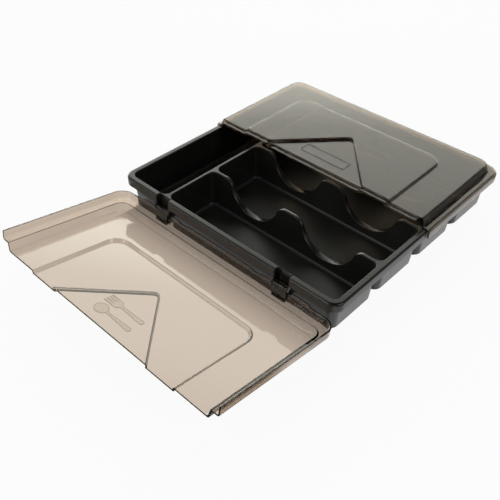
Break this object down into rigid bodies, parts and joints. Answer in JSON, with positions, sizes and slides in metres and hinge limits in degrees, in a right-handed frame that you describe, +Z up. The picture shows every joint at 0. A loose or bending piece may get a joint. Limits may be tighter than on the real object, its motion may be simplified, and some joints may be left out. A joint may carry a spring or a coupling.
{
  "type": "lidded utensil box",
  "caption": "Square utensil tray with wavy dividers and two clear snap-hinged half lids, one closed and one folded right open",
  "frame": {"origin": "on the table, in the middle of the floor space that the box takes up with its front lid open", "axes": "+X along the hinge lines, away from the long cup; +Y from the front lid's hinge to the rear lid's hinge; +Z up"},
  "size_m": [0.3476, 0.5209, 0.0674],
  "materials": {
    "tray_plastic": "satin black moulded polypropylene",
    "lid_plastic": "clear glossy styrene with a smoky brown tint"
  },
  "bodies": {
    "tray": {"tray": "tray_plastic"},
    "front_lid": {"front_lid": "lid_plastic"},
    "rear_lid": {"rear_lid": "lid_plastic"}
  },
  "joints": [
    {"name": "front_lid_hinge", "type": "hinge", "parent": "tray", "child": "front_lid", "pos_m": [0, -0.08604, 0.0342], "axis": [-1, 0, 0], "range_deg": [0, 170]},
    {"name": "rear_lid_hinge", "type": "hinge", "parent": "tray", "child": "rear_lid", "pos_m": [0, 0.25696, 0.0342], "axis": [-1, 0, 0], "range_deg": [0, 170]}
  ]
}
